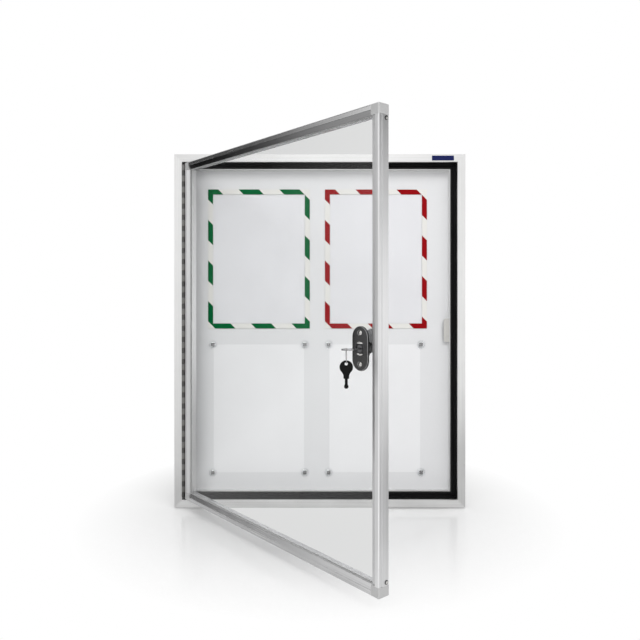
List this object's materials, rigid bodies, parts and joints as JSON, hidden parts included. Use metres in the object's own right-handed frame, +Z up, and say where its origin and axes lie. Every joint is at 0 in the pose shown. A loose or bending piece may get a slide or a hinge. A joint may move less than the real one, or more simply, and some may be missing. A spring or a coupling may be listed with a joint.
{
  "type": "lockable notice board",
  "caption": "Wall-mounted aluminium notice board with a glazed door on a piano hinge, a cam lock with keys, and a white magnetic panel that holds framed and loose sheets.",
  "frame": {"origin": "centre of the four wall holes, on the rear plane", "axes": "+Z up, +Y into the wall, +X to the right seen from the front"},
  "size_m": [0.662, 0.5175, 0.804],
  "materials": {
    "case_metal": "satin anodised",
    "door_metal": "satin anodised",
    "corner_metal": "satin anodised, smooth",
    "plain_steel": "plain",
    "nickel": "nickel plated",
    "panel_white": "smooth white enamel",
    "board": "matte",
    "seal_rubber": "matte",
    "label_navy": "printed, bare",
    "notice_print": "printed stripes",
    "clear_film": "clear",
    "paper": "uncoated",
    "clear_plastic": "clear",
    "glass": "clear",
    "black_plastic": "gloss",
    "strike_metal": "satin",
    "black_key": "satin"
  },
  "bodies": {
    "case": {"case_top_profile": "case_metal", "case_bottom_profile": "case_metal", "case_left_profile": "case_metal", "case_right_profile": "case_metal", "case_corner_cleats": "plain_steel", "magnetic_panel": "panel_white", "backing_board": "board", "label_plate": "label_navy", "door_seal": "seal_rubber", "hinge_case_leaf": "plain_steel", "hinge_pin": "plain_steel", "strike_plate": "strike_metal", "strike_screws": "plain_steel", "notice_frame_left": "notice_print", "notice_frame_right": "notice_print", "notice_film_left": "clear_film", "notice_film_right": "clear_film", "framed_sheet_left": "paper", "framed_sheet_right": "paper", "paper_sheet_left": "paper", "paper_sheet_right": "paper", "magnet_caps": "clear_plastic", "magnet_cores": "plain_steel"},
    "door": {"door_top_rail": "door_metal", "door_bottom_rail": "door_metal", "door_hinge_stile": "door_metal", "door_lock_stile": "door_metal", "door_corner_bottom_hinge": "corner_metal", "door_corner_top_hinge": "corner_metal", "door_corner_bottom_lock": "corner_metal", "door_corner_top_lock": "corner_metal", "door_corner_screws": "plain_steel", "door_glass": "glass", "glazing_gasket_front": "seal_rubber", "glazing_gasket_rear": "seal_rubber", "hinge_door_leaf": "plain_steel", "lock_escutcheon": "black_plastic", "lock_clamp_plate": "black_plastic", "escutcheon_screws": "nickel", "lock_body": "nickel", "lock_nut": "nickel"},
    "lock_cylinder": {"lock_plug": "nickel", "lock_cam": "plain_steel", "cam_screw": "plain_steel"},
    "key": {"key": "nickel"},
    "key_ring": {"key_ring": "nickel"},
    "spare_key": {"spare_key_head": "black_key", "spare_key_blade": "black_key"}
  },
  "joints": [
    {"name": "door_hinge", "type": "hinge", "parent": "case", "child": "door", "pos_m": [-0.31, -0.0415, 0], "axis": [0, 0, -1], "range_deg": [-50, 120]},
    {"name": "lock_turn", "type": "hinge", "parent": "door", "child": "lock_cylinder", "pos_m": [0.06076, -0.48335, 0], "axis": [0.766, 0.6428, 0], "range_deg": [0, 90]},
    {"name": "key_slide", "type": "slide", "parent": "lock_cylinder", "child": "key", "axis": [-0.766, -0.6428, 0], "range_m": [0, 0.022]},
    {"name": "ring_swing", "type": "hinge", "parent": "key", "child": "key_ring", "pos_m": [0.041, -0.50579, 0.0022], "axis": [0, 1, 0], "range_deg": [-25, 25]},
    {"name": "spare_key_swing", "type": "hinge", "parent": "key_ring", "child": "spare_key", "pos_m": [0.041, -0.50579, -0.0198], "axis": [0, 1, 0], "range_deg": [-25, 25]}
  ]
}
